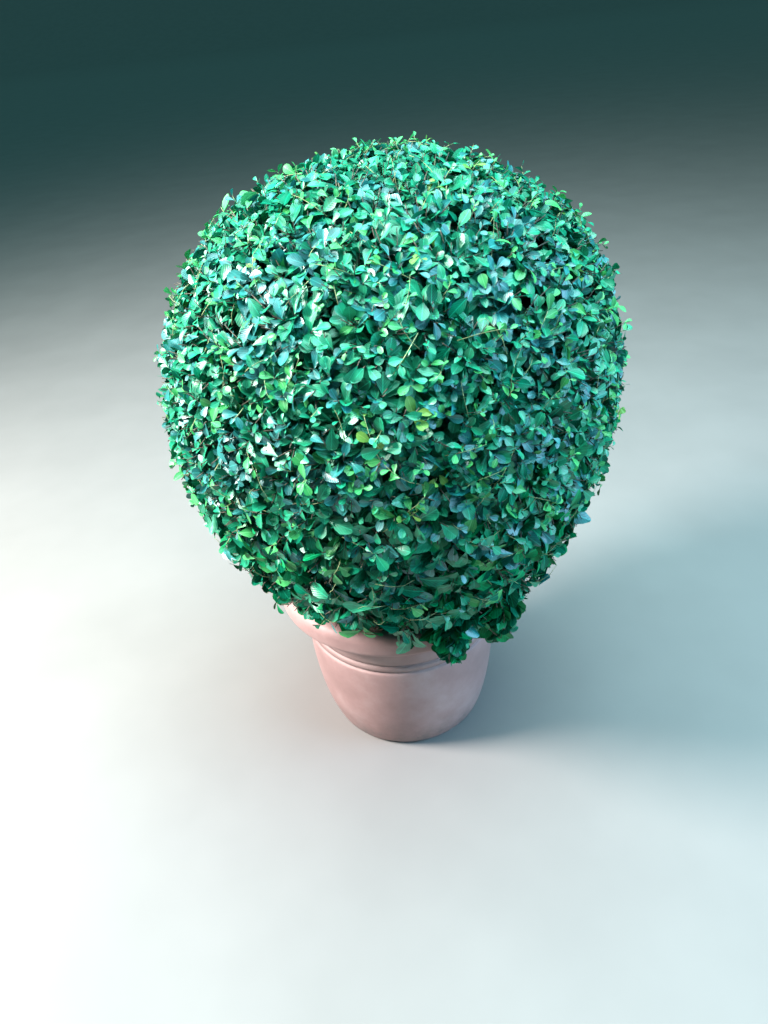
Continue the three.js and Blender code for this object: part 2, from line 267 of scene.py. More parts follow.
# %% [markdown]
# ## Pot
# The real pot looks like moulded plastic in a pale terracotta colour: a thick rim rolled outwards, a short
# neck, two fine ledges with a groove behind each, and a convex body on a small rounded foot. A lathe shape
# like this could be a revolved curve or stacked cylinders. It is a profile of a few points, rounded where the
# mould is round, and spun with bmesh, which keeps the wall's thickness. A slight waver takes away the look of
# a perfect lathe.

# %% Pot outline
pot_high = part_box("pot")[1]
RIM_RADIUS = pot_high.x
POT_HEIGHT = pot_high.z
SOIL_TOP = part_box("soil")[1].z
FOOT_RADIUS = 0.156
BODY_RADIUS = 0.204
BODY_TOP = 0.250
BAND_TOP = 0.265
LEDGE = 0.003
EDGE_ROUND = 0.0045
GROOVE = 0.0024
GROOVE_FROM = 0.0008
GROOVE_TO = 0.0034
RIM_ROUND_BELOW = 0.013
RIM_ROUND_ABOVE = 0.019
NECK_TOP = 0.333
MOUTH_RADIUS = 0.215
POT_FLOOR = 0.008


def curve_points(first, pull, last, steps):
    """Points on the curve from first to last that bends towards pull. The first point is left out."""
    shares = [k / steps for k in range(1, steps + 1)]
    return [
        tuple((1 - t) ** 2 * a + 2 * t * (1 - t) * b + t * t * c for a, b, c in zip(first, pull, last))
        for t in shares
    ]


def arc_points(centre, radius, first, last, steps):
    """Points on an arc between two angles in degrees."""
    angles = [math.radians(first + (last - first) * k / steps) for k in range(steps + 1)]
    return [(centre[0] + radius * math.cos(a), centre[1] + radius * math.sin(a)) for a in angles]


def inside_outline():
    """The pot's inside, from just under its mouth down to the middle of its floor."""
    return [
        (MOUTH_RADIUS - 0.005, SOIL_TOP),
        (BODY_RADIUS, NECK_TOP - 0.005),
        (BODY_RADIUS - 0.013, BAND_TOP),
        (BODY_RADIUS - 0.010, BODY_TOP - 0.010),
        (BODY_RADIUS - 0.019, 0.112),
        (BODY_RADIUS - 0.040, 0.020),
        (FOOT_RADIUS - 0.006, POT_FLOOR),
        (0, POT_FLOOR),
    ]


def pot_outline():
    """The whole pot: from the middle of the underside up the outside, over the rim and down the inside."""
    body_foot = (FOOT_RADIUS + 0.016, 0.014)
    body_top = (BODY_RADIUS, BODY_TOP - EDGE_ROUND)
    band = BODY_RADIUS - LEDGE
    band_top = (band, BAND_TOP - EDGE_ROUND)
    neck = BODY_RADIUS - 2 * LEDGE
    neck_foot = (neck, BAND_TOP + 0.0046)
    lower = RIM_ROUND_BELOW
    upper = RIM_ROUND_ABOVE
    return [
        (0, 0.0),
        (0.06, 0.0),
        (0.12, 0.0),
        (FOOT_RADIUS - 0.004, 0.0),
        *curve_points((FOOT_RADIUS - 0.004, 0), (FOOT_RADIUS + 0.012, 0.001), body_foot, 6),
        *curve_points(body_foot, (BODY_RADIUS - 0.003, 0.095), body_top, 22),
        *curve_points(body_top, (BODY_RADIUS - 0.0004, BODY_TOP - 0.001), (band + 0.0008, BODY_TOP), 4),
        (band - GROOVE, BODY_TOP + GROOVE_FROM),
        (band - GROOVE, BODY_TOP + GROOVE_TO),
        (band, BODY_TOP + 0.0048),
        band_top,
        *curve_points(band_top, (band - 0.0003, BAND_TOP - 0.001), (neck + 0.0008, BAND_TOP), 4),
        (neck - GROOVE, BAND_TOP + GROOVE_FROM),
        (neck - GROOVE, BAND_TOP + GROOVE_TO),
        neck_foot,
        *curve_points(neck_foot, (neck + 0.004, 0.300), (BODY_RADIUS + 0.008, NECK_TOP), 8),
        *arc_points((BODY_RADIUS + 0.0125, NECK_TOP - 0.001), 0.0025, 150, 90, 2),
        *arc_points((RIM_RADIUS - lower, POT_HEIGHT - 0.036), lower, -80, 0, 7),
        *arc_points((RIM_RADIUS - upper, POT_HEIGHT - upper), upper, 6, 90, 9),
        *curve_points((RIM_RADIUS - upper, POT_HEIGHT), (MOUTH_RADIUS + 0.001, POT_HEIGHT),
                      (MOUTH_RADIUS, POT_HEIGHT - 0.012), 6),
        *inside_outline(),
    ]


print("pot outline", len(pot_outline()), "points")


# %% Pot mesh
def spun(outline, steps):
    """An outline of radii and heights, spun once round the Z axis into a closed skin."""
    bm = bmesh.new()
    ring = [bm.verts.new((radius, 0, height)) for radius, height in outline]
    edges = [bm.edges.new(pair) for pair in zip(ring, ring[1:])]
    bmesh.ops.spin(
        bm, geom=[*ring, *edges], cent=(0, 0, 0), axis=(0, 0, 1), dvec=(0, 0, 0),
        angle=2 * math.pi, steps=steps, use_merge=True, use_normal_flip=False, use_duplicate=False,
    )
    bmesh.ops.remove_doubles(bm, verts=bm.verts, dist=1e-5)
    bmesh.ops.recalc_face_normals(bm, faces=bm.faces)
    return bm


def wavered(bm, amount, scale):
    """Moves the wall in and out by noise. The middle and the underside stay true."""
    for vertex in bm.verts:
        level = Vector((vertex.co.x, vertex.co.y, 0))
        if level.length > 0.05 and vertex.co.z > 0.02:
            shift = amount * noise.noise(vertex.co * scale)
            vertex.co += level.normalized() * shift


pot_bm = spun(pot_outline(), steps=128)
wavered(pot_bm, amount=0.0012, scale=6)
print("pot vertices", len(pot_bm.verts))

# %% [markdown]
# ## The pot's finish
# Such plastic is matt and never one even colour: it is bleached in clouds and speckled, and splashed with
# dry soil near its foot. A painted picture could hold all that, but it would fit only this pot. Two noises
# give the clouds and specks, and a band of height places the soil. A second band paints shade into the neck
# and ledges under the rim, where the rim's shadow falls.

# %% Pot material
POT_TONES = [(0.32, (0.275, 0.156, 0.146)), (0.50, (0.342, 0.198, 0.187)), (0.68, (0.416, 0.270, 0.256))]
POT_SPECK = (0.32, 0.215, 0.195)
POT_DUST = (0.135, 0.118, 0.112)
# The colour of the painted shade on the neck under the rim.
POT_PAINTED_SHADE = (0.16, 0.105, 0.095)
DUST_TOP = 0.10


def height_on(tree):
    """How high a point lies on the object."""
    place = add_node(tree, "ShaderNodeTexCoord")
    split = tree.nodes.new("ShaderNodeSeparateXYZ")
    tree.links.new(place.outputs["Object"], split.inputs["Vector"])
    return split.outputs["Z"]


def pot_material():
    material, tree, shader = new_material("terracotta plastic")
    broad = object_noise(tree, 7.0, 6.0, 0.62)
    fine = object_noise(tree, 60.0, 4.0, 0.65)
    height = height_on(tree)
    base = ramp(tree, broad, POT_TONES)
    speckled = mixed(tree, span(tree, fine, 0.60, 0.78, 0.0, 0.35), base, POT_SPECK)
    near_foot = span(tree, height, DUST_TOP, 0.0, 0.0, 0.9)
    splashes = span(tree, object_noise(tree, 22.0, 5.0, 0.7), 0.38, 0.66)
    dusty = mixed(tree, math_node(tree, "MULTIPLY", near_foot, splashes), speckled, POT_DUST)
    # Painted shade: the band from the body's top up to the rim's lip is darkened, as if in the rim's shadow.
    over_body = span(tree, height, BODY_TOP - 0.002, BODY_TOP + 0.003, 0.0, 1.0)
    below_lip = span(tree, height, NECK_TOP - 0.012, NECK_TOP, 1.0, 0.0)
    under_rim_shade = math_node(tree, "MULTIPLY", over_body, below_lip)
    rim_shaded = mixed(tree, span(tree, under_rim_shade, 0.0, 1.0, 0.0, 0.30), dusty, POT_PAINTED_SHADE)
    tree.links.new(rim_shaded, shader.inputs["Base Color"])
    tree.links.new(span(tree, broad, 0.3, 0.7, 0.50, 0.66), shader.inputs["Roughness"])
    shader.inputs["Specular IOR Level"].default_value = 0.45
    bump_from(tree, shader, fine, 0.22, 0.002)
    return material


pot_finish = pot_material()
pot = object_from(pot_bm, "pot_shell", pot_finish)
print("finish", pot_finish.name)

# %% [markdown]
# ## Drain holes
# Such a pot lets water out through round holes in its floor, here four of them. They could be modelled into
# the floor's faces one by one. A Boolean with four short cylinders does it at once, and it is applied, so a
# plain mesh is left.

# %% Drain holes
DRAINS = 4
DRAIN_RADIUS = 0.011
DRAIN_CIRCLE = 0.095


def drain_cutters():
    """Short upright cylinders on a circle, as one bmesh."""
    bm = bmesh.new()
    for k in range(DRAINS):
        angle = math.radians(45 + 360 * k / DRAINS)
        place = Matrix.Translation((DRAIN_CIRCLE * math.cos(angle), DRAIN_CIRCLE * math.sin(angle), 0))
        bmesh.ops.create_cone(
            bm, cap_ends=True, segments=24, radius1=DRAIN_RADIUS, radius2=DRAIN_RADIUS,
            depth=4 * POT_FLOOR, matrix=place,
        )
    return bm


def cut_by(piece, cutters, material):
    """The piece without what the cutters take away. Its mesh is plain again, with no modifier left on it."""
    tool = object_from(cutters, "cutters", material)
    cut = piece.modifiers.new("cut", "BOOLEAN")
    cut.object = tool
    graph = bpy.context.evaluated_depsgraph_get()
    piece.data = bpy.data.meshes.new_from_object(piece.evaluated_get(graph))
    piece.modifiers.clear()
    bpy.data.objects.remove(tool)


cut_by(pot, drain_cutters(), pot_finish)
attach(pot, "root")
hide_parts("pot")
print("pot faces", len(pot.data.polygons))

# %% [markdown]
# ## Soil
# The pot is full of a coarse, moist mix of peat and bark. Foliage hides most of it, yet it shows from low
# down on the far side. It could be a flat lid. Here it fills the pot: its outline is the pot's inside, a gap
# further in, and its top is cut into rings and roughened with noise.

# %% Soil
SOIL_TONES = [(0.35, (0.020, 0.014, 0.010)), (0.55, (0.060, 0.040, 0.028)), (0.72, (0.14, 0.10, 0.07))]
SOIL_GAP = 0.0016
SOIL_RINGS = 26


def soil_material():
    material, tree, shader = new_material("potting mix")
    grain = object_noise(tree, 90.0, 6.0, 0.7)
    painted(tree, shader, ramp(tree, grain, SOIL_TONES), 0.92)
    bump_from(tree, shader, grain, 0.6, 0.004)
    return material


def soil_outline():
    """The pot's inside, a gap further in, and a level top that is cut into rings."""
    lowest = POT_FLOOR + 0.0003
    wall = [
        (max(radius - SOIL_GAP, 0), max(height, lowest))
        for radius, height in reversed(inside_outline()[1:])
    ]
    side = MOUTH_RADIUS - 0.005 - SOIL_GAP
    rings = [(side * k / SOIL_RINGS, SOIL_TOP - 0.004) for k in range(SOIL_RINGS, -1, -1)]
    return [*wall, *rings]


def roughened(bm):
    """Lifts and sinks the top by a coarse and a fine noise."""
    for vertex in bm.verts:
        if vertex.co.z > SOIL_TOP - 0.006:
            lump = noise.noise(vertex.co * 28) + 0.6 * noise.noise(vertex.co * 75)
            vertex.co.z += 0.003 * lump


soil_bm = spun(soil_outline(), steps=90)
roughened(soil_bm)
soil_top = object_from(soil_bm, "soil_mix", soil_material())
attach(soil_top, "root")
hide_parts("soil")
print("soil faces", len(soil_top.data.polygons))

# %% [markdown]
# ## Bark chips
# Loose bits of bark lie on the mix, so that the gap under the foliage reads as earth. A bump in the soil's
# material would do from far off. Real bits catch the light at their edges, so each chip is a flattened cube,
# thrown down between the trunk and the pot's wall with a turn, a slope and a size of its own.

# %% Bark chips
CHIP_COUNT = 320
CHIP_RING_INSIDE = 0.064
CHIP_RING_WIDTH = 0.128
CHIP_SLOPE = 0.35
CHIP_SIDES = [(0.006, 0.018), (0.004, 0.010), (0.0015, 0.0035)]
CHIP_TONES = [(0.35, (0.045, 0.026, 0.016)), (0.55, (0.13, 0.078, 0.046)), (0.72, (0.26, 0.18, 0.12))]
chip_dice = np.random.default_rng(11)


def chip_place():
    """Where a chip of size one lies, how it is turned and how it is flattened."""
    radius = CHIP_RING_INSIDE + CHIP_RING_WIDTH * math.sqrt(chip_dice.random())
    angle = 2 * math.pi * chip_dice.random()
    height = SOIL_TOP - 0.0025 + 0.003 * chip_dice.random()
    place = Matrix.Translation((radius * math.cos(angle), radius * math.sin(angle), height))
    turn = Matrix.Rotation(2 * math.pi * chip_dice.random(), 4, "Z")
    for axis in ("X", "Y"):
        turn = turn @ Matrix.Rotation(CHIP_SLOPE * chip_dice.normal(), 4, axis)
    size = [chip_dice.uniform(*limits) for limits in CHIP_SIDES]
    return place @ turn @ Matrix.Diagonal((*size, 1))


def chip_material():
    material, tree, shader = new_material("bark chips")
    painted(tree, shader, ramp(tree, object_noise(tree, 60.0, 4.0, 0.7), CHIP_TONES), 0.85)
    return material


chips_bm = bmesh.new()
for _ in range(CHIP_COUNT):
    bmesh.ops.create_cube(chips_bm, size=1, matrix=chip_place())
chips = object_from(chips_bm, "bark_chips", chip_material(), smooth=False)
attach(chips, "root")
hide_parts("soil")
print("bark chips", CHIP_COUNT)

# %% [markdown]
# ## The ball's surface
# Clipping gives the crown its form: a ball that swells at its shoulder, is fuller at its skirt, hangs over
# the rim in two tufts at the front right and is tucked up at the left. It could be read from the packed
# crown's mesh. The source states it as one radius with a few smooth swellings, so the same formula is written
# again here, and everything that grows later asks it how deep a point lies under the clipped surface.

# %% Ball sizes
BALL = {"height": 0.782, "offset": 0.027, "lean": 0.020, "radius": 0.411}
SHOULDER = {"swell": 0.014, "elevation": 36, "spread": 17}
SKIRT = {"swell": 0.046, "elevation": -51, "spread": 13}
TUFTS = [
    {"swell": 0.082, "elevation": -58, "spread": 6.5, "azimuth": -76.5, "sweep": 5},
    {"swell": 0.076, "elevation": -56, "spread": 6.5, "azimuth": -57, "sweep": 5},
]
TUCKS = [
    {"swell": -0.030, "elevation": -57, "spread": 9, "azimuth": -153, "sweep": 24},
    {"swell": -0.016, "elevation": -58, "spread": 7, "azimuth": -107, "sweep": 9},
]
WAVER_BROAD = 0.0035
WAVER_FINE = 0.004
WAVER_SINK = 0.0045
print("ball", round(2 * BALL["radius"], 3), "m across before its swellings")


# %% Ball surface
def bump(value, middle, spread):
    """A smooth hump: 1 at its middle and next to nothing three spreads away."""
    return np.exp(-(((value - middle) / spread) ** 2) / 2)


def direction_of(azimuth, elevation):
    """Unit vectors from angles in radians."""
    azimuth = np.asarray(azimuth, float)
    level = np.cos(elevation)
    return np.stack([level * np.cos(azimuth), level * np.sin(azimuth), np.sin(elevation) + 0 * azimuth], -1)


def elevation_of(direction):
    """Degrees above the level."""
    return np.degrees(np.arcsin(np.clip(direction[..., 2], -1, 1)))


def round_reach(direction):
    """How far the ball reaches in each direction, before its tufts and tucks."""
    elevation = elevation_of(direction)
    return (
        BALL["radius"]
        + SHOULDER["swell"] * bump(elevation, SHOULDER["elevation"], SHOULDER["spread"])
        + SKIRT["swell"] * bump(elevation, SKIRT["elevation"], SKIRT["spread"])
    )


def swelling_at(local, elevation, azimuth):
    """What a tuft or a tuck adds to the surface. Azimuths are compared the short way round."""
    aside = (azimuth - local["azimuth"] + 180) % 360 - 180
    height_share = bump(elevation, local["elevation"], local["spread"])
    return local["swell"] * height_share * bump(aside, 0, local["sweep"])


def reach(direction):
    """How far the ball reaches in each direction, with its tufts and tucks."""
    elevation = elevation_of(direction)
    azimuth = np.degrees(np.arctan2(direction[..., 1], direction[..., 0]))
    swellings = [swelling_at(local, elevation, azimuth) for local in [*TUFTS, *TUCKS]]
    return round_reach(direction) + sum(swellings)


def clip_waver(direction):
    """Small dips and swellings that the shears leave, in metres."""
    x, y, z = direction[..., 0], direction[..., 1], direction[..., 2]
    broad = np.sin(5.1 * x + 1.3) * np.sin(4.3 * y - 0.7) + np.sin(4.7 * z + 2.1) * np.sin(5.9 * x + 0.4)
    fine = np.sin(13.0 * x - 1.1) * np.sin(11.7 * y + 0.9) * np.sin(12.3 * z + 0.2)
    return WAVER_BROAD * broad + WAVER_FINE * fine - WAVER_SINK


print("ball reaches", round(float(reach(np.array([0.0, 0.0, 1.0]))) + BALL["height"], 3), "m high")


# %% Places in and around the ball
def ball_point(direction, distance):
    """Points that lie so far from the ball's centre, leant as the ball is."""
    point = direction * np.asarray(distance)[..., None]
    point[..., 0] += BALL["offset"] + BALL["lean"] * point[..., 2]
    point[..., 2] += BALL["height"]
    return point


def ball_direction(point):
    """The direction and distance of points from the ball's centre, once its lean is taken out."""
    local = np.array(point, float)
    local[..., 2] -= BALL["height"]
    local[..., 0] -= BALL["offset"] + BALL["lean"] * local[..., 2]
    distance = np.linalg.norm(local, axis=-1)
    return local / np.maximum(distance, 1e-6)[..., None], distance


def depth_of(point):
    """How deep points lie under the clipped surface. It is negative outside."""
    direction, distance = ball_direction(point)
    return reach(direction) + clip_waver(direction) - distance


def in_pot(point, grow=0.004):
    """True for points inside the pot or its soil, or nearer to them than grow."""
    radius = np.hypot(point[..., 0], point[..., 1])
    outside = (radius > RIM_RADIUS + grow) | (point[..., 2] > POT_HEIGHT + grow)
    below_rim = (radius > BODY_RADIUS + 0.02) & (point[..., 2] < NECK_TOP - 0.01)
    mouth = (radius < MOUTH_RADIUS - grow) & (point[..., 2] > SOIL_TOP + grow)
    return ~(outside | below_rim | mouth)


def unit(vectors):
    """The same directions with a length of one."""
    return vectors / np.maximum(np.linalg.norm(vectors, axis=-1), 1e-9)[..., None]


print("the ball's centre lies", round(float(depth_of(np.array([0.0, 0.0, BALL["height"]]))), 3), "m deep")

# %% [markdown]
# ## Trunk and main boughs
# Under the leaves stands a short trunk that widens at its foot and forks low into seven boughs. Such limbs
# could be curves with a round bevel, but bark isn't a smooth tube. Each one starts as a bmesh circle that is
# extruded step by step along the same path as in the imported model, tapered on the way, and then its skin is
# pushed in and out by noise stretched along it.

# %% Limb paths
LEAF_DEPTH = 0.046
SHELL_DEPTH = 0.060
BOUGH_STOP = 0.024
TRUNK = {"root": 0.034, "tip": 0.023, "flare": 0.015, "fork": 0.438, "lean": (0.009, -0.006)}
TRUNK_FOOT = SOIL_TOP + 0.0003
FORK = Vector((TRUNK["lean"][0], TRUNK["lean"][1], TRUNK["fork"]))


def trunk_point(share):
    """A point on the trunk's curve, from its foot at 0 to its fork at 1."""
    pull = Vector((0, 0, (TRUNK_FOOT + TRUNK["fork"]) / 2))
    foot = Vector((0, 0, TRUNK_FOOT))
    return (1 - share) ** 2 * foot + 2 * share * (1 - share) * pull + share**2 * FORK


def tier(name, count, first_azimuth, elevation, root, root_radius):
    """A ring of boughs. Each one leaves the trunk lower and climbs more steeply than the one before."""
    return [
        {
            "name": f"{name}_{k + 1}",
            "azimuth": first_azimuth + k * 360 / count,
            "elevation": elevation + 5 * (k - 1),
            "root": root - 0.07 * k,
            "radius": root_radius,
            "tip_radius": 0.006,
        }
        for k in range(count)
    ]


BOUGHS = [
    {"name": "bough_leader", "azimuth": 20, "elevation": 79, "root": 1, "radius": 0.017, "tip_radius": 0.007},
    *tier("bough_high", 3, 62, 36, 0.86, 0.014),
    *tier("bough_low", 3, 5, 2, 0.62, 0.013),
]


def bough_tip(bough):
    """Where a bough ends, just inside the leafy shell."""
    direction = direction_of(math.radians(bough["azimuth"]), math.radians(bough["elevation"]))
    return Vector(ball_point(direction, round_reach(direction) - LEAF_DEPTH - SHELL_DEPTH - BOUGH_STOP))


def bough_curve(bough):
    """Root, two handles and tip. The leader goes on along the trunk, the others sag before they rise."""
    root = trunk_point(bough["root"])
    tip = bough_tip(bough)
    climb = tip.z - root.z
    if bough["root"] == 1:
        along = (FORK - trunk_point(0.98)).normalized()
        root = root + along * 0.0003
        rise = root + along * 0.35 * climb
    else:
        rise = root.lerp(tip, 0.33) + Vector((0, 0, -0.03 * climb))
    turn = root.lerp(tip, 0.7) + Vector((0, 0, 0.1 * climb))
    return root, rise, turn, tip


def cubic_point(curve, t):
    a, b, c, d = curve
    return (1 - t) ** 3 * a + 3 * t * (1 - t) ** 2 * b + 3 * t * t * (1 - t) * c + t**3 * d


print("boughs", [bough["name"] for bough in BOUGHS])

# %% Limb mesh
FURROWS_ACROSS = 170
FURROWS_ALONG = 34
KNOTS = 45


def limb_mesh(points, radii, sides):
    """A tube of rings: a circle is extruded from point to point, and each new ring is turned and scaled."""
    bm = bmesh.new()
    first_turn = (points[1] - points[0]).to_track_quat("Z", "Y")
    start = bmesh.ops.create_circle(bm, cap_ends=True, segments=sides, radius=radii[0])
    bmesh.ops.rotate(bm, verts=start["verts"], cent=(0, 0, 0), matrix=first_turn.to_matrix())
    bmesh.ops.translate(bm, verts=start["verts"], vec=points[0])
    ring_edges = list(bm.edges)
    turn_before = first_turn
    for k in range(1, len(points)):
        ahead = points[min(k + 1, len(points) - 1)] - points[k - 1]
        turn = turn_before.copy()
        turn.rotate((turn_before @ Vector((0, 0, 1))).rotation_difference(ahead))
        made = bmesh.ops.extrude_edge_only(bm, edges=ring_edges)["geom"]
        verts = [one for one in made if isinstance(one, bmesh.types.BMVert)]
        ring_edges = [
            one for one in made
            if isinstance(one, bmesh.types.BMEdge) and all(vert in verts for vert in one.verts)
        ]
        change = turn.to_matrix() @ turn_before.to_matrix().inverted() * (radii[k] / radii[k - 1])
        for vert in verts:
            vert.co = points[k] + change @ (vert.co - points[k - 1])
        turn_before = turn
    bmesh.ops.contextual_create(bm, geom=ring_edges)
    bmesh.ops.recalc_face_normals(bm, faces=bm.faces)
    return bm


def furrowed(bm, depth):
    """Bark relief: noise stretched along the limb, which mostly runs upwards."""
    bm.normal_update()
    moves = {}
    for vertex in bm.verts:
        x, y, z = vertex.co
        stretched = Vector((x * FURROWS_ACROSS, y * FURROWS_ACROSS, z * FURROWS_ALONG))
        knotted = vertex.co * KNOTS
        moves[vertex] = vertex.normal * depth * (noise.noise(stretched) + 0.7 * noise.noise(knotted))
    for vertex, move in moves.items():
        vertex.co += move


# %% Bark and limb pieces
BARK_TONES = [(0.3, (0.070, 0.050, 0.035)), (0.55, (0.19, 0.145, 0.10)), (0.75, (0.36, 0.30, 0.22))]
TRUNK_STEPS = 26
BOUGH_STEPS = 48


def bark_material():
    material, tree, shader = new_material("grey-brown bark")
    furrow = object_noise(tree, 160.0, 6.0, 0.65, stretch=(1, 1, 0.22))
    painted(tree, shader, ramp(tree, furrow, BARK_TONES), 0.85)
    bump_from(tree, shader, furrow, 0.5, 0.003)
    return material


bark = bark_material()


def add_limb(name, node, points, radii, sides, relief):
    """A limb's mesh with its bark, put in the place of its node."""
    bm = limb_mesh(points, radii, sides)
    furrowed(bm, relief)
    limb = object_from(bm, name, bark)
    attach(limb, "root")
    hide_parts(node)


shares = [k / TRUNK_STEPS for k in range(TRUNK_STEPS + 1)]
radii = [TRUNK["root"] + (TRUNK["tip"] - TRUNK["root"]) * s + TRUNK["flare"] * (1 - s) ** 3 for s in shares]
add_limb("trunk_bark", "trunk", [trunk_point(s) for s in shares], radii, sides=40, relief=0.0022)
shares = [k / BOUGH_STEPS for k in range(BOUGH_STEPS + 1)]
for bough in BOUGHS:
    curve = bough_curve(bough)
    points = [cubic_point(curve, s) for s in shares]
    radii = [bough["radius"] + (bough["tip_radius"] - bough["radius"]) * s for s in shares]
    add_limb(f"{bough['name']}_bark", bough["name"], points, radii, sides=20, relief=0.0010)
print("limbs", 1 + len(BOUGHS))

# %% [markdown]
# ## How the crown grows
# The rule is the source's: points are dealt evenly over the ball by the golden angle, and each new limb grows
# on from the nearest one of the order before it. There it gives one order of twigs. Here it runs through
# three: branches that fork off the boughs' ends inside the shell, shoots that fan out from the branches to
# the clipped surface, and leaves in a spiral round each shoot. Thousands of separate objects would be slow,
# so a small template is bent along every path at once, and each kind becomes one joined mesh.

# %% Dealing points over the ball
GOLDEN_ANGLE = math.pi * (3 - math.sqrt(5))
LOWEST = -62
dice = np.random.default_rng(5150)


def dealt_directions(count, lowest, jitter):
    """Directions spread evenly from the top down to the lowest elevation, each one a little off its place."""
    k = np.arange(count)
    height = 1 + (math.sin(math.radians(lowest)) - 1) * (k + 0.5) / count
    azimuth = k * GOLDEN_ANGLE + jitter * (dice.random(count) - 0.5)
    elevation = np.arcsin(height) + jitter * (dice.random(count) - 0.5)
    return direction_of(azimuth, elevation)


def nearest_index(points, targets, at_once=2000):
    """The target nearest to each point, found for so many points at once to save memory."""
    found = np.empty(len(points), int)
    for start in range(0, len(points), at_once):
        part = points[start:start + at_once]
        gaps = np.linalg.norm(part[:, None, :] - targets[None, :, :], axis=-1)
        found[start:start + at_once] = gaps.argmin(1)
    return found


def path_at(paths, chosen, share):
    """Points and directions on quadratic curves: paths holds root, pull and tip, one row per path."""
    t = share[:, None]
    root, pull, tip = (paths[key][chosen] for key in ("root", "pull", "tip"))
    point = (1 - t) ** 2 * root + 2 * t * (1 - t) * pull + t * t * tip
    along = unit((1 - t) * (pull - root) + t * (tip - pull))
    return point, along


print("golden angle", round(math.degrees(GOLDEN_ANGLE), 1), "degrees")

# %% Branch paths
BRANCH_COUNT = 300
BRANCH_DEPTH = 0.086
BRANCH_DEPTH_RANGE = 0.02
BRANCH_BEND = 0.18

bough_tips = np.array([bough_tip(bough)[:] for bough in BOUGHS])
branch_out = dealt_directions(BRANCH_COUNT, LOWEST, 0.10)
branch_depth = BRANCH_DEPTH + BRANCH_DEPTH_RANGE * dice.random(BRANCH_COUNT)
branch_tips = ball_point(branch_out, round_reach(branch_out) - branch_depth)
branch_roots = bough_tips[nearest_index(branch_tips, bough_tips)]
branch_sway = unit(0.6 * dice.normal(size=(BRANCH_COUNT, 3)) - 0.5 * branch_out)
branch_span = np.linalg.norm(branch_tips - branch_roots, axis=1)[:, None]
branch_paths = {
    "root": branch_roots,
    "pull": (branch_roots + branch_tips) / 2 + BRANCH_BEND * branch_span * branch_sway,
    "tip": branch_tips,
}
print("branches", BRANCH_COUNT)

# %% [markdown]
# ## Shoots
# Every shoot ends in leaves. Most are clipped: they run straight out to the shears' surface. Some long pale
# ones have grown since the last clipping, and lie across the leaves or stand out of them. About a hundred
# hang over the rim, in a front and a side tuft, and one short spray hangs by itself at the front. They could
# all share one rule with more chance in it, but each kind shows in its own place on the plant, so each is
# dealt by itself.

# %% Shoot paths
CLIPPED_OVER = 0.003
CLIPPED_RANGE = 0.026


def in_pot_along(pull, tip):
    """True for shoots whose outer half meets the pot."""
    return in_pot(tip) | in_pot((tip + pull) / 2) | in_pot(pull)


def kept(clear, **rows):
    """The rows of several arrays for which clear is true."""
    return {name: values[clear] for name, values in rows.items()}


def clipped_shoots(count):
    """Shoots that fan out from the nearest branch and end at or a little under the clipped surface."""
    out = dealt_directions(count, LOWEST, 0.05)
    depth = -CLIPPED_OVER + CLIPPED_RANGE * dice.random(count) ** 1.3
    tip = ball_point(out, reach(out) + clip_waver(out) - depth)
    root = branch_tips[nearest_index(tip, branch_tips)]
    length = np.linalg.norm(tip - root, axis=1)[:, None]
    pull = root + 0.55 * length * unit(0.4 * unit(tip - root) + out + 0.35 * dice.normal(size=(count, 3)))
    return kept(~in_pot_along(pull, tip), root=root, pull=pull, tip=tip, out=out)


def surface_frame(out):
    """Two directions along the ball's surface at each outward one: sideways and downwards."""
    sideways = unit(np.cross(out, np.array([0.03, 0.02, 1.0])))
    return sideways, np.cross(out, sideways)


def straggling_shoots(count, length_range, rise_range, proud=0.010):
    """Shoots that leave the surface at a low or steep angle. Their tips stand only a little proud of it."""
    out = dealt_directions(count, -48, 0.4)
    sideways, down = surface_frame(out)
    turn = 2 * math.pi * dice.random(count)[:, None]
    mostly_up = np.sign(dice.random(count)[:, None] - 0.25)
    level = np.cos(turn) * sideways - np.abs(np.sin(turn)) * down * mostly_up
    length = dice.uniform(*length_range, count)[:, None]
    rise = dice.uniform(*rise_range, count)[:, None]
    root = ball_point(out, reach(out) + clip_waver(out) - 0.012)
    tip = root + length * (np.cos(rise) * level + np.sin(rise) * out)
    excess = np.clip(-depth_of(tip) - proud, 0, None)[:, None]
    tip -= excess * out
    pull = (root + tip) / 2 + 0.16 * length * out + 0.10 * length * dice.normal(size=(count, 3))
    clear = ~(in_pot(tip) | in_pot(pull)) & (depth_of(tip) < proud)
    return kept(clear, root=root, pull=pull, tip=tip, out=out)


def hanging_shoots(count, azimuth_range, root_elevation, tip_elevation_range, proud=0.0):
    """Shoots that come out above the rim and hang down in front of it."""
    azimuth = np.radians(dice.uniform(*azimuth_range, count))
    start = direction_of(azimuth, np.radians(root_elevation) + 0.05 * dice.random(count))
    tip_azimuth = azimuth + 0.06 * dice.normal(size=count)
    out = direction_of(tip_azimuth, np.radians(dice.uniform(*tip_elevation_range, count)))
    root = ball_point(start, round_reach(start) - 0.05)
    tip = ball_point(out, reach(out) + proud - 0.030 * dice.random(count))
    length = np.linalg.norm(tip - root, axis=1)[:, None]
    pull = root + 0.5 * length * unit(out * np.array([1, 1, 0.2]))
    return kept(~in_pot_along(pull, tip), root=root, pull=pull, tip=tip, out=out)


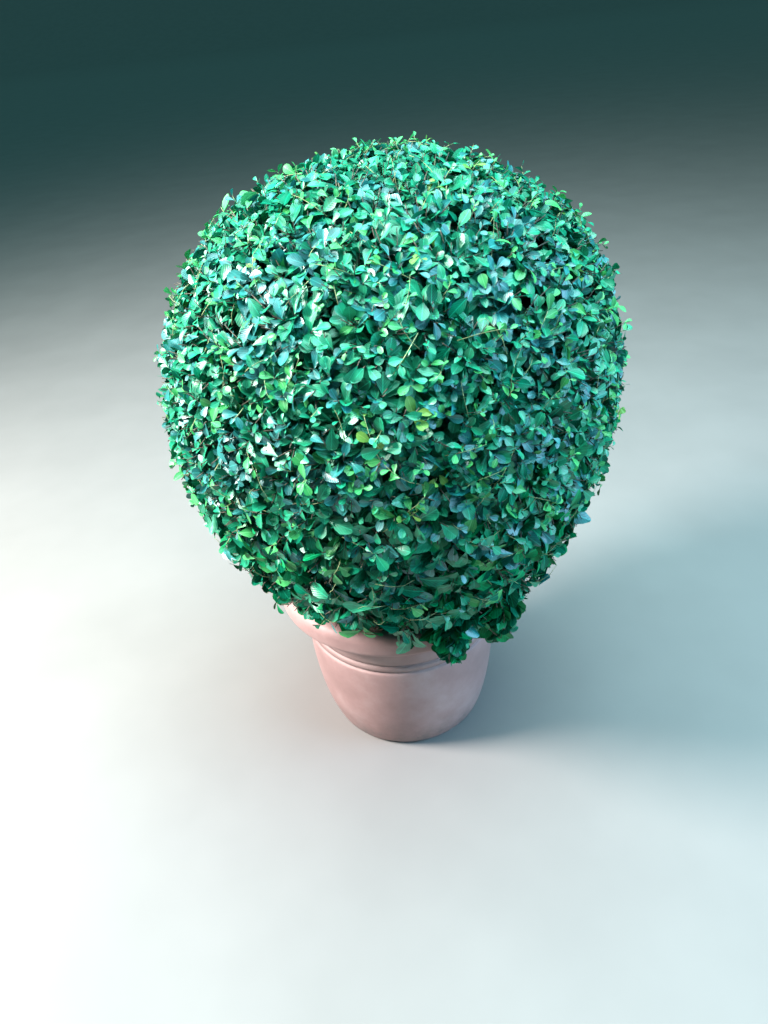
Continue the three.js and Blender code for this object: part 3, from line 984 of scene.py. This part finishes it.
# %% Kinds of shoot
# Pitch is the way from leaf to leaf, and most is how many leaves a shoot can have. Length and spread are
# a leaf's size and how much it varies. Twig is the radius at root and tip. Young is the size of the tip's
# leaf beside the others, and thinned the share of leaves that the lowest shoots lack.
SHOOT_KINDS = {
    "clipped": {
        "paths": clipped_shoots(5900), "pitch": 0.0066, "most": 11, "length": 0.0252, "spread": 0.29,
        "twig": (0.0017, 0.0008), "young": 0.72, "thinned": 0.62,
    },
    "lying": {
        "paths": straggling_shoots(380, (0.030, 0.075), (0.0, 0.22)), "pitch": 0.0100, "most": 5,
        "length": 0.0150, "spread": 0.25, "twig": (0.0008, 0.0004), "young": 0.55,
    },
    "standing": {
        "paths": straggling_shoots(300, (0.020, 0.036), (0.6, 1.3)), "pitch": 0.0048, "most": 7,
        "length": 0.0175, "spread": 0.25, "twig": (0.0008, 0.0004), "young": 0.55,
    },
    "hanging": {
        "paths": hanging_shoots(60, (-81, -70), -50, (-60, -53)), "pitch": 0.0080, "most": 12,
        "length": 0.0320, "spread": 0.20, "twig": (0.0013, 0.0007), "young": 0.7,
    },
    "side hanging": {
        "paths": hanging_shoots(46, (-62, -51), -48, (-58, -51)), "pitch": 0.0080, "most": 12,
        "length": 0.0310, "spread": 0.20, "twig": (0.0013, 0.0007), "young": 0.7,
    },
    "front spray": {
        "paths": hanging_shoots(4, (-95.5, -94.5), -50, (-56, -54), 0.028), "pitch": 0.0100, "most": 4,
        "length": 0.0165, "spread": 0.15, "twig": (0.0012, 0.0006), "young": 0.8,
    },
}
for name, kind in SHOOT_KINDS.items():
    print(name, "shoots", len(kind["paths"]["tip"]))

# %% [markdown]
# ## Twigs as meshes
# Each branch or shoot could be a curve with a bevel, but thousands of those take long. A stick of three to
# six sides is plenty at their size. It is made once, upright and one long, and numpy bends a copy of it along
# every curve. The young wood is pale and yellow-green, the older wood grey-brown.


# %% Bending a template along many paths
def template_arrays(bm):
    """A bmesh's vertices and triangles as arrays."""
    bmesh.ops.triangulate(bm, faces=bm.faces)
    bm.verts.index_update()
    points = np.array([vert.co[:] for vert in bm.verts])
    faces = np.array([[vert.index for vert in face.verts] for face in bm.faces])
    bm.free()
    return points, faces


def stick_template(sides, steps):
    """A unit cylinder from z 0 to z 1, cut into steps. Returns its vertices and its triangles."""
    bm = bmesh.new()
    bmesh.ops.create_cone(bm, cap_ends=True, cap_tris=True, segments=sides, radius1=1, radius2=1, depth=1)
    bmesh.ops.translate(bm, verts=bm.verts, vec=(0, 0, 0.5))
    for k in range(1, steps):
        everything = [*bm.verts, *bm.edges, *bm.faces]
        bmesh.ops.bisect_plane(bm, geom=everything, plane_co=(0, 0, k / steps), plane_no=(0, 0, 1))
    return template_arrays(bm)


def bent_sticks(template, paths, root_radius, tip_radius):
    """The template's vertices bent along each path, as an array of copies × vertices × 3."""
    count = len(paths["tip"])
    order = np.repeat(np.arange(count), len(template))
    share = np.tile(template[:, 2], count)
    middle, along = path_at(paths, order, share)
    first = unit(np.cross(along, np.array([0.31, 0.22, 0.92])))
    second = np.cross(along, first)
    radius = (root_radius + (tip_radius - root_radius) * share)[:, None]
    x, y = (np.tile(template[:, k], count)[:, None] for k in (0, 1))
    return (middle + radius * (x * first + y * second)).reshape(count, len(template), 3)


branch_stick, branch_faces = stick_template(6, 6)
shoot_stick, shoot_faces = stick_template(3, 3)
print("stick triangles", len(branch_faces), "and", len(shoot_faces))


# %% Joining copies into one mesh
def joined_piece(name, batches, material):
    """One mesh of many copies. A batch holds their points, the template's triangles and its UV or None."""
    points, faces, uvs, first = [], [], [], 0
    for copies, triangles, uv in batches:
        count, per_copy, _ = copies.shape
        shift = first + np.arange(count) * per_copy
        faces.append((triangles[None, :, :] + shift[:, None, None]).reshape(-1, 3))
        points.append(copies.reshape(-1, 3))
        first += count * per_copy
        if uv is not None:
            uvs.append(np.tile(uv[triangles.ravel()], (count, 1)))
    points, faces = np.concatenate(points), np.concatenate(faces)
    mesh = bpy.data.meshes.new(name)
    mesh.vertices.add(len(points))
    mesh.vertices.foreach_set("co", points.astype(np.float32).ravel())
    mesh.loops.add(faces.size)
    mesh.loops.foreach_set("vertex_index", faces.astype(np.int32).ravel())
    mesh.polygons.add(len(faces))
    mesh.polygons.foreach_set("loop_start", np.arange(0, faces.size, 3, dtype=np.int32))
    mesh.polygons.foreach_set("use_smooth", np.ones(len(faces), bool))
    if uvs:
        blade = mesh.uv_layers.new(name="blade")
        blade.data.foreach_set("uv", np.concatenate(uvs).astype(np.float32).ravel())
    mesh.update(calc_edges=True)
    mesh.materials.append(material)
    piece = bpy.data.objects.new(name, mesh)
    bpy.context.scene.collection.objects.link(piece)
    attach(piece, "root")
    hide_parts("crown")
    return piece


# %% Branch and shoot pieces
def twig_material(name, dark, middle, light):
    """A matt twig with a fine grain of three tones."""
    material, tree, shader = new_material(name)
    grain = object_noise(tree, 220.0, 4.0, 0.6)
    painted(tree, shader, ramp(tree, grain, [(0.35, dark), (0.55, middle), (0.70, light)]), 0.7)
    bump_from(tree, shader, grain, 0.3, 0.001)
    return material


woody_twig = twig_material("woody twig", (0.035, 0.026, 0.018), (0.09, 0.070, 0.048), (0.20, 0.17, 0.12))
young_twig = twig_material("young twig", (0.14, 0.17, 0.07), (0.30, 0.35, 0.16), (0.48, 0.50, 0.28))
branch_copies = bent_sticks(branch_stick, branch_paths, 0.0042, 0.0021)
twig_pieces = [joined_piece("branches", [(branch_copies, branch_faces, None)], woody_twig)]
TWIG_PIECES = {
    "shoots_woody": (woody_twig, ["clipped", "hanging", "side hanging", "front spray"]),
    "shoots_young": (young_twig, ["lying", "standing"]),
}
for name, (finish, kinds) in TWIG_PIECES.items():
    batches = [
        (bent_sticks(shoot_stick, SHOOT_KINDS[kind]["paths"], *SHOOT_KINDS[kind]["twig"]), shoot_faces, None)
        for kind in kinds
    ]
    twig_pieces.append(joined_piece(name, batches, finish))
print("twig triangles", [len(piece.data.polygons) for piece in twig_pieces])

# %% [markdown]
# ## One leaf
# The leaves are small, thick and glossy, broadest past the middle, with a blunt, notched or toothed tip and a
# clear midrib. A flat card with a cut-out picture would be quick, but the leaf has to be real geometry. A
# small grid is pinched into the outline row by row, folded along the midrib and bent down at the tip. Several
# such templates keep the crown from looking stamped: full ones for the surface, toothed ones for the largest
# leaves, plain ones deep inside.

# %% Leaf outlines
# Each row, from stalk to tip, says how far along the blade it lies and the share of the full width there.
SPOON = [(0.0, 0.07), (0.20, 0.34), (0.43, 0.78), (0.66, 1.0), (0.86, 0.86), (0.985, 0.42)]
OVAL = [(0.0, 0.07), (0.18, 0.46), (0.40, 0.90), (0.62, 1.0), (0.83, 0.76), (0.98, 0.28)]
WEDGE = [(0.0, 0.07), (0.24, 0.30), (0.50, 0.70), (0.74, 1.0), (0.91, 0.92), (0.99, 0.56)]
PLAIN = [(0.0, 0.07), (0.58, 1.0), (0.98, 0.42)]
# Width, droop and notch are shares of the length, fold lifts the edges, and teeth widen every other row.
Blade = namedtuple("Blade", "rows width fold droop notch teeth")
BLADES = {
    "surface": [
        Blade(SPOON, 0.66, 0.30, 0.20, -0.030, 0.0),
        Blade(SPOON, 0.58, 0.46, 0.30, 0.055, 0.0),
        Blade(WEDGE, 0.56, 0.26, 0.16, 0.060, 0.0),
        Blade(WEDGE, 0.62, 0.38, 0.36, -0.020, 0.0),
        Blade(OVAL, 0.54, 0.34, 0.24, -0.035, 0.0),
        Blade(OVAL, 0.62, 0.18, -0.12, -0.030, 0.0),
    ],
    "large": [
        Blade(SPOON, 0.52, 0.30, 0.26, -0.030, 0.06),
        Blade(WEDGE, 0.55, 0.38, 0.18, 0.020, 0.07),
        Blade(OVAL, 0.50, 0.24, 0.34, -0.030, 0.05),
    ],
    "inner": [
        Blade(PLAIN, 0.66, 0.20, 0.16, -0.02, 0.0),
        Blade(PLAIN, 0.72, 0.34, 0.24, -0.02, 0.0),
    ],
}
print("blades", {form: len(blades) for form, blades in BLADES.items()})


# %% Leaf templates
def leaf_template(blade):
    """A blade along +Y from the origin, one long. Returns its vertices, triangles and UV."""
    bm = bmesh.new()
    last_row = len(blade.rows) - 1
    columns = 4 if blade.teeth else 2
    bmesh.ops.create_grid(bm, x_segments=columns, y_segments=last_row, size=0.5)
    uv_of = {}
    for vert in bm.verts:
        across = round(vert.co.x * columns) * 2 / columns
        row = round((vert.co.y + 0.5) * last_row)
        along, share = blade.rows[row]
        if row == last_row:
            along -= blade.notch * (1 - abs(across))
        if abs(across) == 1 and row > 1:
            share *= 1 + blade.teeth * (1 if row % 2 else -1)
        half = blade.width / 2 * share
        lift = blade.fold * abs(across) ** 1.4 * half - blade.droop * along * along
        vert.co = (across * half, along, lift)
        uv_of[vert.index] = (0.5 + 0.5 * across * share, along)
    uv = np.array([uv_of[k] for k in range(len(bm.verts))])
    points, faces = template_arrays(bm)
    return points, faces, uv


leaf_templates = {form: [leaf_template(blade) for blade in blades] for form, blades in BLADES.items()}
faces_of_form = {form: len(templates[0][1]) for form, templates in leaf_templates.items()}
print("leaf triangles", faces_of_form)

# %% [markdown]
# ## Leaf colours
# Old leaves are a deep blue-green, younger ones a clear emerald, and the soft tips of new shoots
# yellow-green. Low down, where less light falls, more sprays get the deep or the shade tone: painted shade.
# On clipped shoots the leaves far from the tip, inside the crown, are all deep, partly for their age and
# partly as painted shade. One material could give each leaf a colour by chance, but on the plant a whole
# spray shares its age, so each colour is a material of its own that is dealt out by shoot. The midrib and
# side veins come from the blade's own UV map, which follows every leaf. A blade is darker near its stalk, as
# painted shade of the clump, and a broad noise keeps neighbours from matching.

# %% Leaf materials
VEIN_SLANT = -0.9
VEIN_PITCH = 44.0


def leaf_material(name, dark, light, rib, roughness, gloss):
    """A leaf's finish. UV X runs across the blade with the midrib at 0.5, and UV Y from stalk to tip."""
    material, tree, shader = new_material(name)
    tone = ramp(tree, object_noise(tree, 42.0, 2.5), [(0.34, dark), (0.66, light)])
    blade = add_node(tree, "ShaderNodeUVMap", uv_map="blade")
    split = tree.nodes.new("ShaderNodeSeparateXYZ")
    tree.links.new(blade.outputs["UV"], split.inputs["Vector"])
    # Painted shade: each blade darkens towards its stalk, as if shaded by the clump.
    body = mixed(tree, span(tree, split.outputs["Y"], 0.05, 0.55, 0.45, 0.0), tone, dark)
    aside = math_node(tree, "ABSOLUTE", math_node(tree, "SUBTRACT", split.outputs["X"], 0.5))
    slanted = math_node(tree, "MULTIPLY_ADD", aside, VEIN_SLANT, split.outputs["Y"])
    veins = math_node(tree, "SINE", math_node(tree, "MULTIPLY", slanted, VEIN_PITCH))
    veined = mixed(tree, span(tree, veins, 0.60, 1.0, 0.0, 0.36), body, rib)
    ribbed = mixed(tree, span(tree, aside, 0.055, 0.015, 0.0, 0.8), veined, rib)
    painted(tree, shader, ribbed, roughness)
    shader.inputs["Specular IOR Level"].default_value = gloss
    bump_from(tree, shader, veins, 0.12, 0.0006)
    return material


# Each row gives the blade's dark and light tone, its ribs, its roughness and its gloss.
LEAF_TONES = {
    "deep": ((0.001, 0.066, 0.035), (0.001, 0.156, 0.080), (0.006, 0.27, 0.15), 0.36, 0.10),
    "green": ((0.002, 0.130, 0.065), (0.004, 0.315, 0.150), (0.026, 0.43, 0.24), 0.40, 0.60),
    "blue": ((0.004, 0.090, 0.086), (0.010, 0.220, 0.205), (0.045, 0.36, 0.32), 0.40, 0.72),
    "shade": ((0.001, 0.115, 0.039), (0.001, 0.275, 0.090), (0.008, 0.39, 0.16), 0.36, 0.12),
    "fresh": ((0.014, 0.240, 0.062), (0.055, 0.415, 0.105), (0.13, 0.52, 0.19), 0.42, 0.50),
    "yellow": ((0.08, 0.25, 0.040), (0.15, 0.36, 0.060), (0.24, 0.44, 0.10), 0.46, 0.40),
}
LEAF_COLOURS = {name: leaf_material(f"{name} leaf", *tones) for name, tones in LEAF_TONES.items()}
COLOUR_NAMES = list(LEAF_COLOURS)
print("leaf colours", COLOUR_NAMES)

# %% [markdown]
# ## Leaves on the shoots
# On the plant the leaves stand in a spiral round each shoot, turned to the light and trimmed level with the
# clipped surface. They could be scattered over a ball, but then nothing would hold them. Here each leaf is
# rooted on its shoot, its direction leaves the shoot at a wide angle, and its face turns outwards and a
# little up. Low on the ball the leaves are larger, fewer and hang more. One that would leave the ball's space
# or touch the pot is dropped.

# %% Placing the leaves
LOW_FROM = 0.80
LOW_SPAN = 0.36
LEAF_MOST = 0.058
LEAF_LEAST = 0.009


def lowness(height, full_span=LOW_SPAN):
    """0 at the ball's middle and above it, 1 near its foot."""
    return np.clip((LOW_FROM - height) / full_span, 0, 1)


def leaves_along(kind):
    """One row per leaf on the shoots of one kind, counted from each shoot's tip."""
    paths = kind["paths"]
    count = len(paths["tip"])
    path = np.repeat(np.arange(count), kind["most"])
    order = np.tile(np.arange(kind["most"]), count)
    length = np.linalg.norm(paths["tip"] - paths["root"], axis=1)
    share = 1 - (order * kind["pitch"] + 0.0015) / length[path]
    thinned = kind.get("thinned", 0) * lowness(paths["tip"][path, 2])
    keep = (share > 0.2) & ((order == 0) | (dice.random(len(path)) > thinned))
    path, order, share = path[keep], order[keep], share[keep]
    rows = len(path)
    base, along = path_at(paths, path, share)
    first = unit(np.cross(along, np.array([0.31, 0.22, 0.92])))
    turn = (order * GOLDEN_ANGLE + path * 1.7)[:, None]
    sideways = np.cos(turn) * first + np.sin(turn) * np.cross(along, first)
    low = lowness(base[:, 2])
    lean = 0.25 + 0.55 * dice.random(rows) + np.where(order < 2, 0.5, 0.0)
    droop = np.array([0, 0, -1.0]) * (0.10 + 0.80 * low)[:, None]
    direction = unit(sideways + lean[:, None] * along + droop + 0.26 * dice.normal(size=(rows, 3)))
    face = unit(0.9 * paths["out"][path] + np.array([0, 0, 0.40]) + 0.42 * dice.normal(size=(rows, 3)))
    vigour = np.exp(kind["spread"] * dice.normal(size=count))[path]
    vigour = vigour * np.exp(0.20 * dice.normal(size=rows))
    young = kind["young"] + (1 - kind["young"]) * np.clip(order / 3 + 0.8 * low, 0, 1)
    size = np.clip(kind["length"] * vigour * young * (1 + 1.10 * low), LEAF_LEAST, LEAF_MOST)
    return {"base": base, "direction": direction, "face": face, "size": size, "order": order, "path": path}


print("lowness of the rim", round(float(lowness(POT_HEIGHT)), 2))

# %% Dealing the leaves
# The shares of the sprays in each leaf colour: deep, green, blue, shade, fresh, yellow.
SHARES = {
    "clipped": (0.13, 0.485, 0.32, 0.0, 0.06, 0.005),
    "clipped low": (0.29, 0.29, 0.03, 0.35, 0.04, 0.0),
    "young": (0.0, 0.44, 0.08, 0.0, 0.46, 0.02),
    "young low": (0.14, 0.32, 0.06, 0.34, 0.14, 0.0),
    # The hanging sprays sit low, so most of them get the deep or shade tone: painted shade.
    "hanging": (0.46, 0.10, 0.04, 0.40, 0.0, 0.0),
    "side hanging": (0.34, 0.20, 0.08, 0.38, 0.0, 0.0),
    "front spray": (0.2, 0.4, 0.0, 0.4, 0.0, 0.0),
}
# How far a leaf of each kind may stand out of the clipped surface.
PROUD = {
    "clipped": 0.004, "lying": 0.016, "standing": 0.018,
    "hanging": 0.016, "side hanging": 0.013, "front spray": 0.060,
}
FRESH_TIPS_FROM = 0.62


def dealt_colours(kind_name, path, order, heights):
    """Colours by shoot: young at the tips of some. Deep towards the inside of all, for age and as painted
    shade, and more deep or shade tones low down, as painted shade.
    """
    count = len(heights)
    # All sets are drawn for every kind, so that a change to one set leaves the other draws as they are.
    deal = {name: dice.choice(len(COLOUR_NAMES), count, p=shares) for name, shares in SHARES.items()}
    spray = deal.get(kind_name, deal["young"])
    # Painted shade: low on the ball, more sprays are dealt the deep or shade tone.
    low = lowness(heights, 0.30) > dice.random(count)
    if kind_name == "clipped":
        spray = np.where(low, deal["clipped low"], spray)
    elif kind_name in ("lying", "standing"):
        spray = np.where(low, deal["young low"], spray)
    colour = spray[path]
    fresh, green, deep = (COLOUR_NAMES.index(name) for name in ("fresh", "green", "deep"))
    if kind_name == "clipped":
        colour[(colour == fresh) & (order > 2)] = green
        fresh_share = np.where(heights[path] > FRESH_TIPS_FROM, 0.11, 0.02)
        colour[(order == 0) & (dice.random(len(colour)) < fresh_share)] = fresh
        # Leaves far from the tip, inside the crown, are deep: partly their age, partly painted shade.
        colour[order > 5] = deep
    return colour


parts = []
for name, kind in SHOOT_KINDS.items():
    found = leaves_along(kind)
    found["colour"] = dealt_colours(name, found["path"], found["order"], kind["paths"]["tip"][:, 2])
    found["proud"] = np.full(len(found["path"]), PROUD[name])
    parts.append(found)
leaves = {key: np.concatenate([part[key] for part in parts]) for key in parts[0]}
leaves["side"] = unit(np.cross(leaves["direction"], leaves["face"]))
leaves["out"] = np.cross(leaves["side"], leaves["direction"])
print("leaves dealt", len(leaves["size"]))

# %% Dropping leaves that stand proud or touch the pot
BLADE_HALF_WIDTH = 0.34
WIDEST_AT = 0.55
INNER_FROM = 0.032
LARGE_FROM = 0.033


def allowed_leaves():
    """True for each leaf whose root, tip and sides all keep to the ball's space."""
    length = leaves["direction"] * leaves["size"][:, None]
    half_width = BLADE_HALF_WIDTH * leaves["side"] * leaves["size"][:, None]
    root = leaves["base"]
    middle = root + WIDEST_AT * length
    fine = np.ones(len(middle), bool)
    for place in (root, root + length, middle, middle + half_width, middle - half_width):
        fine &= (depth_of(place) > -leaves["proud"]) & ~in_pot(place, 0.002)
    return fine


allowed = allowed_leaves()
leaf_depth = depth_of(leaves["base"] + 0.5 * leaves["direction"] * leaves["size"][:, None])
outer_form = np.where(leaves["size"] > LARGE_FROM, "large", "surface")
leaf_form = np.where(leaf_depth > INNER_FROM, "inner", outer_form)
leaf_variant = dice.integers(0, 6, len(leaf_form))
print("leaves", int(allowed.sum()), "of", len(allowed))

# %% Leaf pieces
TRIANGLES_MOST = 190000


def leaf_copies(chosen, points):
    """A template's points, turned and sized for each chosen leaf."""
    size = leaves["size"][chosen][:, None, None]
    moved = sum(
        points[None, :, k, None] * leaves[axis][chosen][:, None, :]
        for k, axis in enumerate(("side", "direction", "out"))
    )
    return leaves["base"][chosen][:, None, :] + size * moved


def leaf_batches(chosen):
    """One batch for each template that some of the chosen leaves use."""
    batches = []
    for form, templates in leaf_templates.items():
        for variant, (points, faces, uv) in enumerate(templates):
            own = chosen[(leaf_form[chosen] == form) & (leaf_variant[chosen] % len(templates) == variant)]
            if len(own):
                batches.append((leaf_copies(own, points), faces, uv))
    return batches


leaf_total = 0
for index, name in enumerate(COLOUR_NAMES):
    chosen = np.flatnonzero(allowed & (leaves["colour"] == index))
    needed = sum(faces * int((leaf_form[chosen] == form).sum()) for form, faces in faces_of_form.items())
    count = math.ceil(needed / TRIANGLES_MOST)
    for part in range(count):
        batches = leaf_batches(chosen[part::count])
        piece = joined_piece(f"leaves_{name}_{part + 1}", batches, LEAF_COLOURS[name])
        leaf_total += len(piece.data.polygons)
        print(piece.name, len(piece.data.polygons))
print("leaf triangles", leaf_total)
